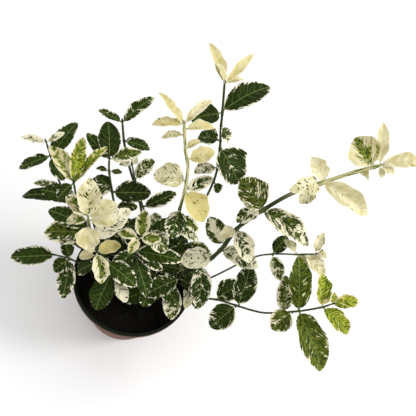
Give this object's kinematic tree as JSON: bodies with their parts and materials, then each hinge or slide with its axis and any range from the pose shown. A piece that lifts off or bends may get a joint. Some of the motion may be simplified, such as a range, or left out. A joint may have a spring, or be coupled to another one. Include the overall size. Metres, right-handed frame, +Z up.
{
  "type": "potted euonymus",
  "caption": "Bushy evergreen euonymus shrub with cream-splashed toothed leaves on slender stems, growing in a round tapering terracotta-coloured nursery pot.",
  "frame": {"origin": "centre of the pot's flat foot, on the surface that it stands on", "axes": "+Z up along the pot's axis; +X towards the long shoots that reach out to the right, the part's longest side; +Y away from the viewer, the way most stems lean"},
  "size_m": [0.3373, 0.2176, 0.2939],
  "materials": {
    "pot": "satin moulded plastic, dusty terracotta outside, dark inside",
    "soil": "damp black peat compost, crumbly",
    "green_leaves": "living leaf, waxy, dark green splashed and edged with cream",
    "pale_leaves": "living young leaf, satin, cream to lime with green flecks"
  },
  "bodies": {
    "root": {"pot": "pot", "soil": "soil", "tall_back_shoot": "green_leaves", "cream_middle_shoot": "pale_leaves", "long_right_shoot": "green_leaves", "thin_right_shoot": "pale_leaves", "low_right_shoot": "green_leaves", "right_rim_sprig": "green_leaves", "front_right_sprig": "green_leaves", "centre_rosette_shoot": "green_leaves", "front_sprig": "green_leaves", "cream_front_sprig": "pale_leaves", "cream_left_shoot": "pale_leaves", "lime_tipped_shoot": "pale_leaves", "far_left_shoot": "green_leaves", "left_rim_sprig": "green_leaves", "back_left_shoot": "green_leaves", "far_back_shoot": "green_leaves", "short_back_shoot": "green_leaves", "middle_sprig": "green_leaves", "low_middle_sprig": "green_leaves", "low_back_sprig": "green_leaves", "low_left_sprig": "green_leaves"}
  },
  "joints": []
}
